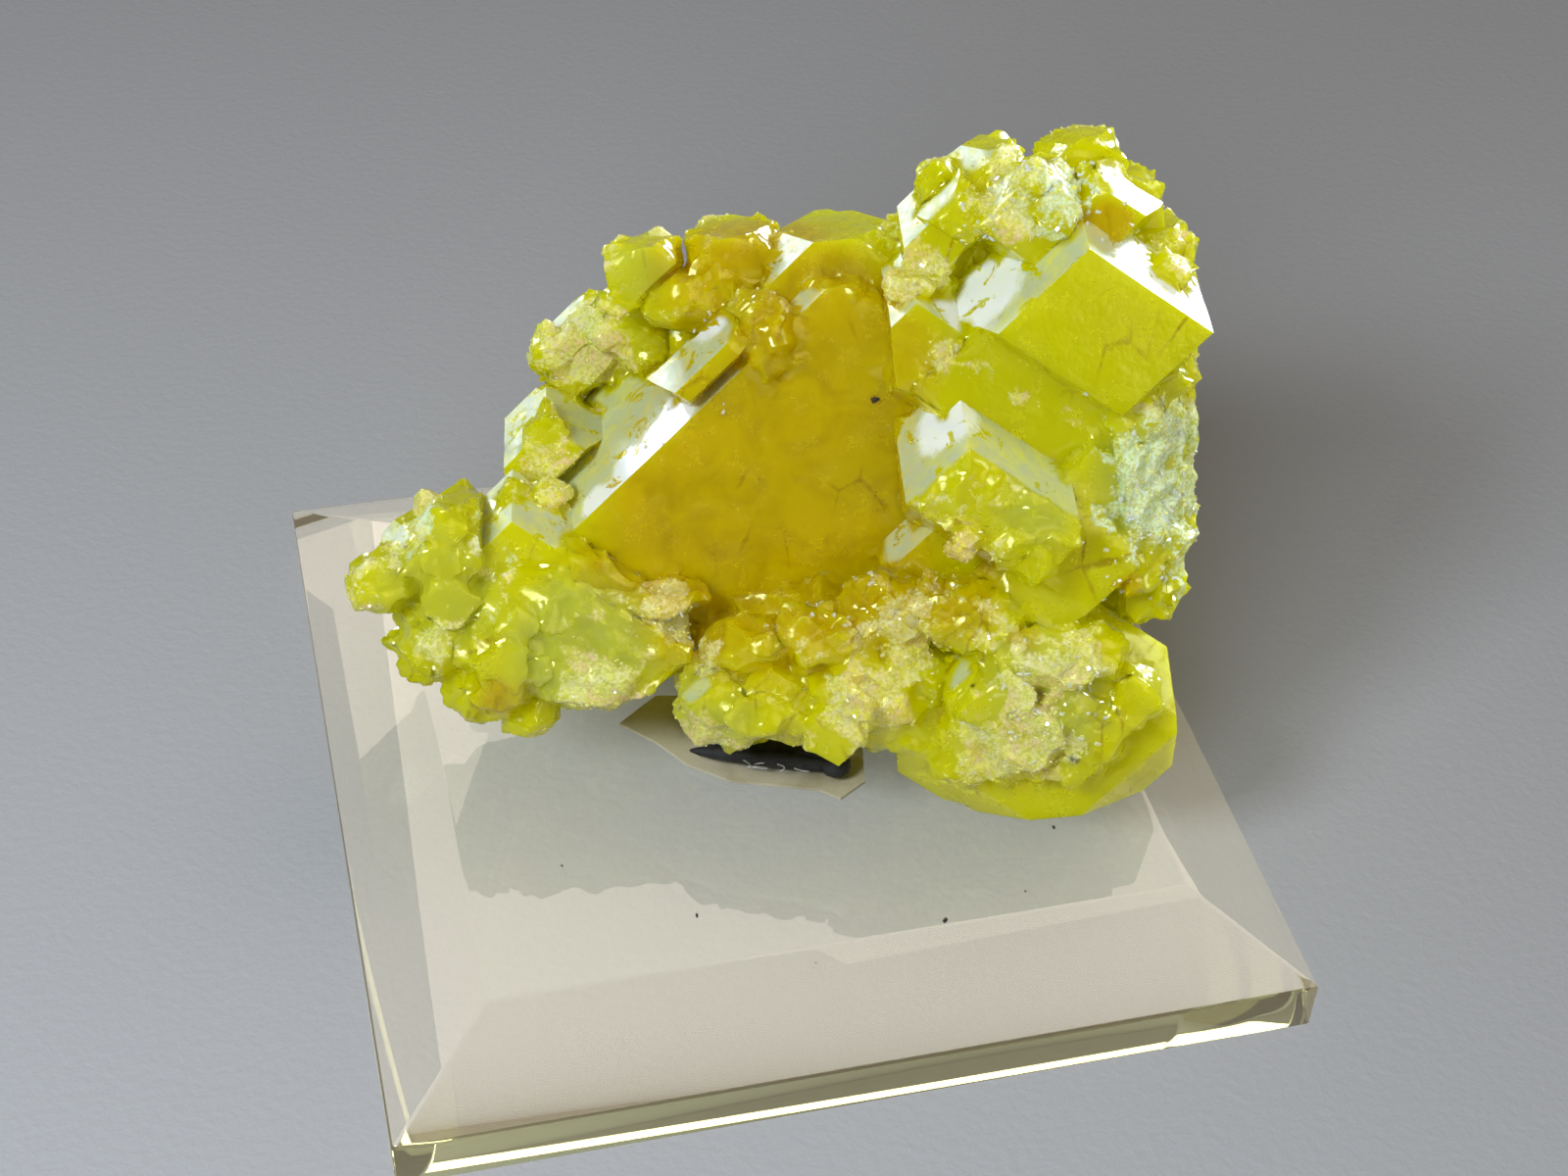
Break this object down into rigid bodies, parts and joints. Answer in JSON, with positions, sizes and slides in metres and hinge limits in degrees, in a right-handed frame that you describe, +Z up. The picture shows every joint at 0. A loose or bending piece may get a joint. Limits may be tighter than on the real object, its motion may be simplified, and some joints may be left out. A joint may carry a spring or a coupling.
{
  "type": "native sulfur crystal specimen",
  "caption": "Cluster of translucent yellow native sulfur crystals with frosted faces and crust, stuck with black tack to a clear bevelled square display base.",
  "frame": {"origin": "centre of the display base's underside, where the specimen rests on a table or shelf", "axes": "+Z up out of the base, +X and -Y along the base's square edges, with the crystals' flat fronts facing -Y and up"},
  "size_m": [0.0508, 0.0508, 0.0411],
  "materials": {
    "sulfur": "translucent, resinous, with frosted faces and granular crust",
    "clear_acrylic": "polished clear acrylic",
    "black_tack": "matte putty",
    "paper": "thin beige paper"
  },
  "bodies": {
    "root": {"sulfur_cluster": "sulfur", "acrylic_base": "clear_acrylic", "mineral_tack": "black_tack", "paper_scrap": "paper"}
  },
  "joints": []
}
